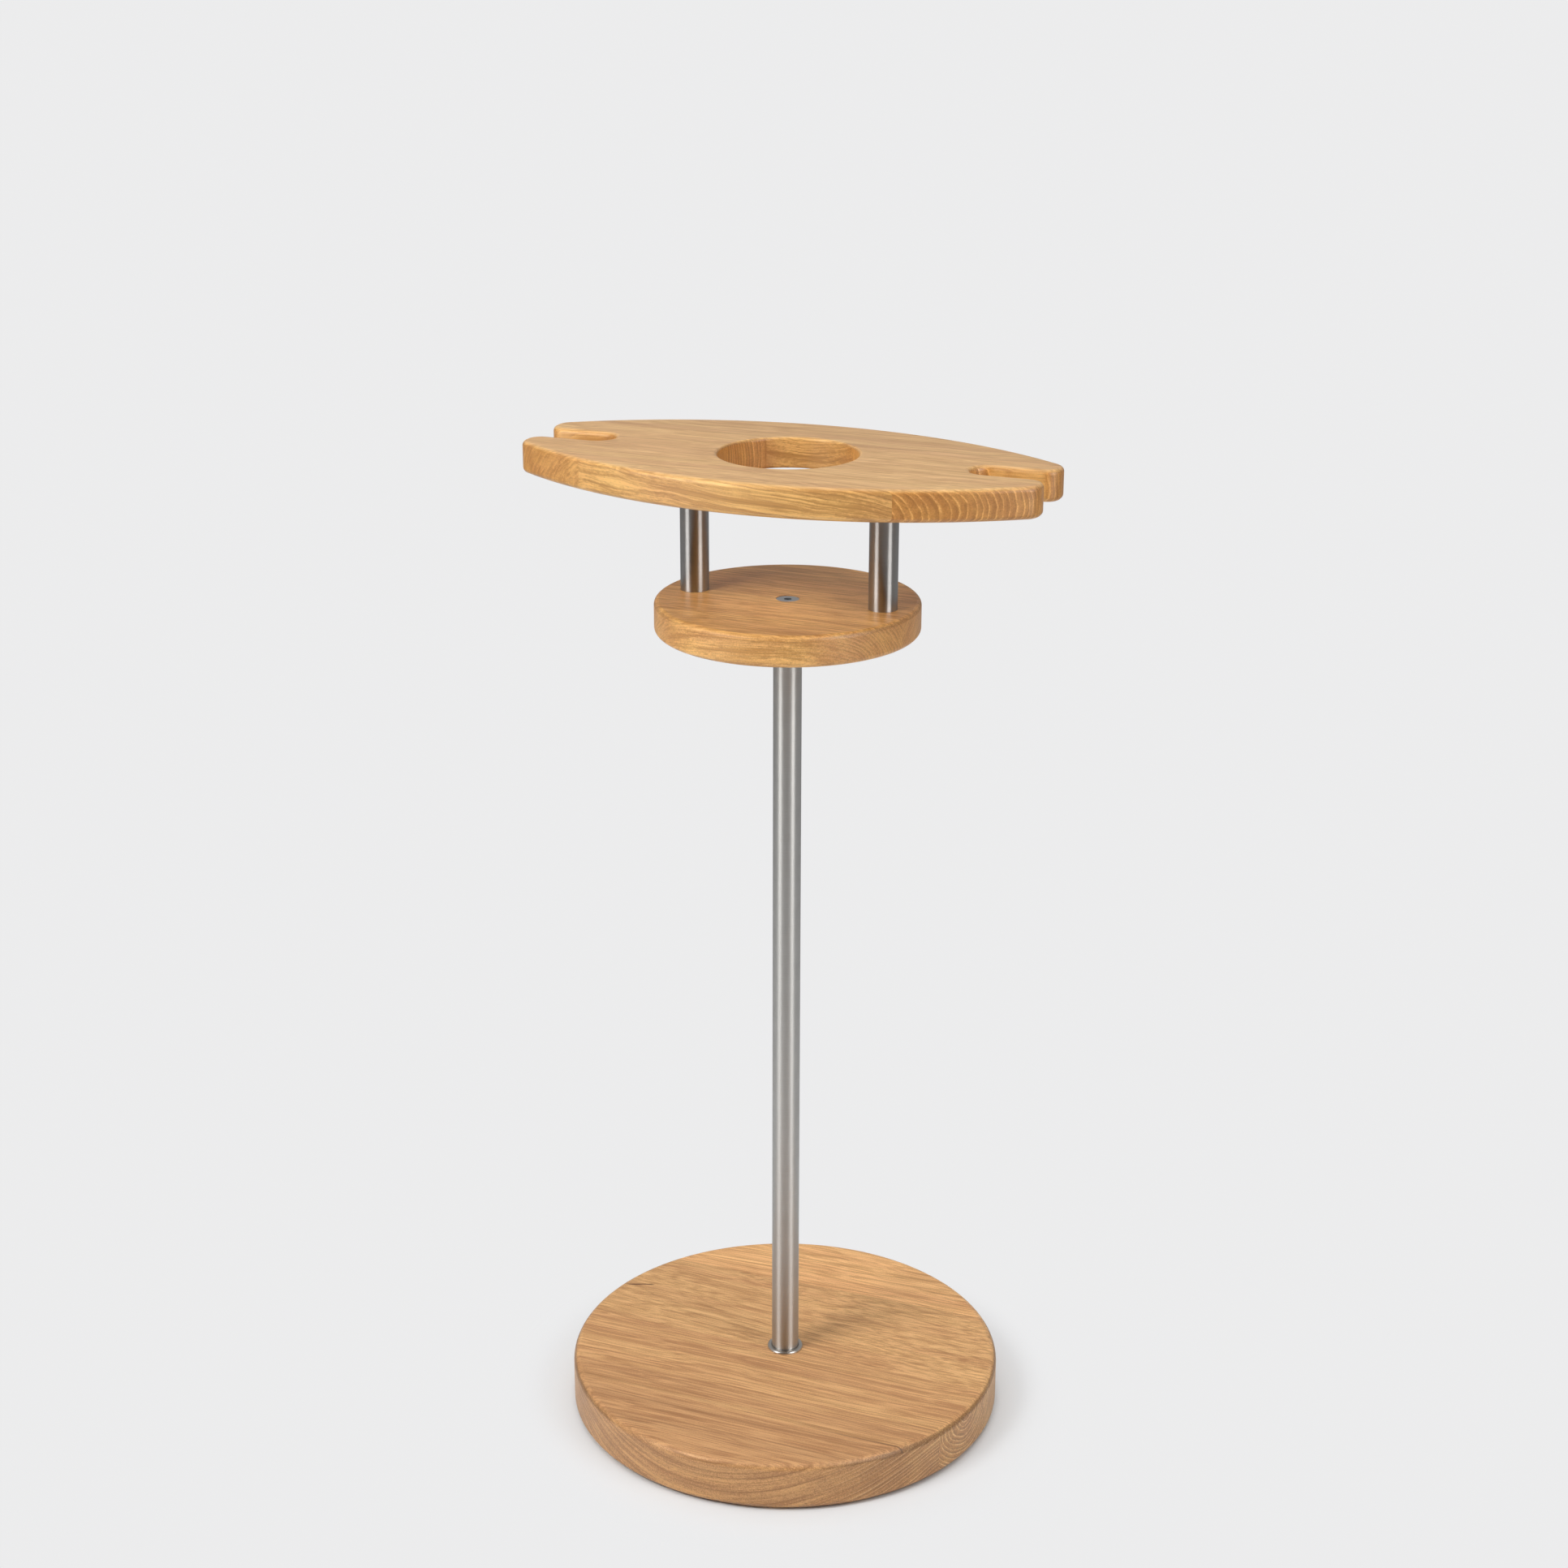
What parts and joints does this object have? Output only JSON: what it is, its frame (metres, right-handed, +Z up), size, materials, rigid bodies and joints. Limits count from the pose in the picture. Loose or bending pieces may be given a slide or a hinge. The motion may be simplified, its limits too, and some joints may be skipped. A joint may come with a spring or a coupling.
{
  "type": "wine bottle and glass holder",
  "caption": "Free-standing drinks stand: round wooden base, steel pole, small round tray and a boat-shaped top board with a round bottle hole and open stem slots in its ends.",
  "frame": {"origin": "centre of the foot pads on the floor, on the pole's axis", "axes": "+Z up along the pole, +X along the top board through both slots, +Y across the board"},
  "size_m": [0.369, 0.32, 0.728],
  "materials": {
    "oak": "satin oiled oak",
    "brushed_tube": "brushed stainless",
    "polished_ring": "polished stainless",
    "plain_steel": "turned steel",
    "zinc_plated": "bright zinc plated",
    "brass_insert": "turned brass",
    "pad_rubber": "matte"
  },
  "bodies": {
    "root": {"base_disc": "oak", "tray_disc": "oak", "top_board": "oak", "pole_tube": "brushed_tube", "left_post_tube": "brushed_tube", "right_post_tube": "brushed_tube", "pole_foot_ring": "polished_ring", "pole_lower_plug": "plain_steel", "pole_upper_plug": "plain_steel", "left_post_lower_plug": "plain_steel", "left_post_upper_plug": "plain_steel", "right_post_lower_plug": "plain_steel", "right_post_upper_plug": "plain_steel", "base_bolt": "zinc_plated", "base_washer": "zinc_plated", "tray_screw": "zinc_plated", "left_post_screw": "zinc_plated", "right_post_screw": "zinc_plated", "left_board_stud": "zinc_plated", "right_board_stud": "zinc_plated", "left_board_insert": "brass_insert", "right_board_insert": "brass_insert", "foot_pad_1": "pad_rubber", "foot_pad_2": "pad_rubber", "foot_pad_3": "pad_rubber", "foot_pad_4": "pad_rubber"}
  },
  "joints": []
}
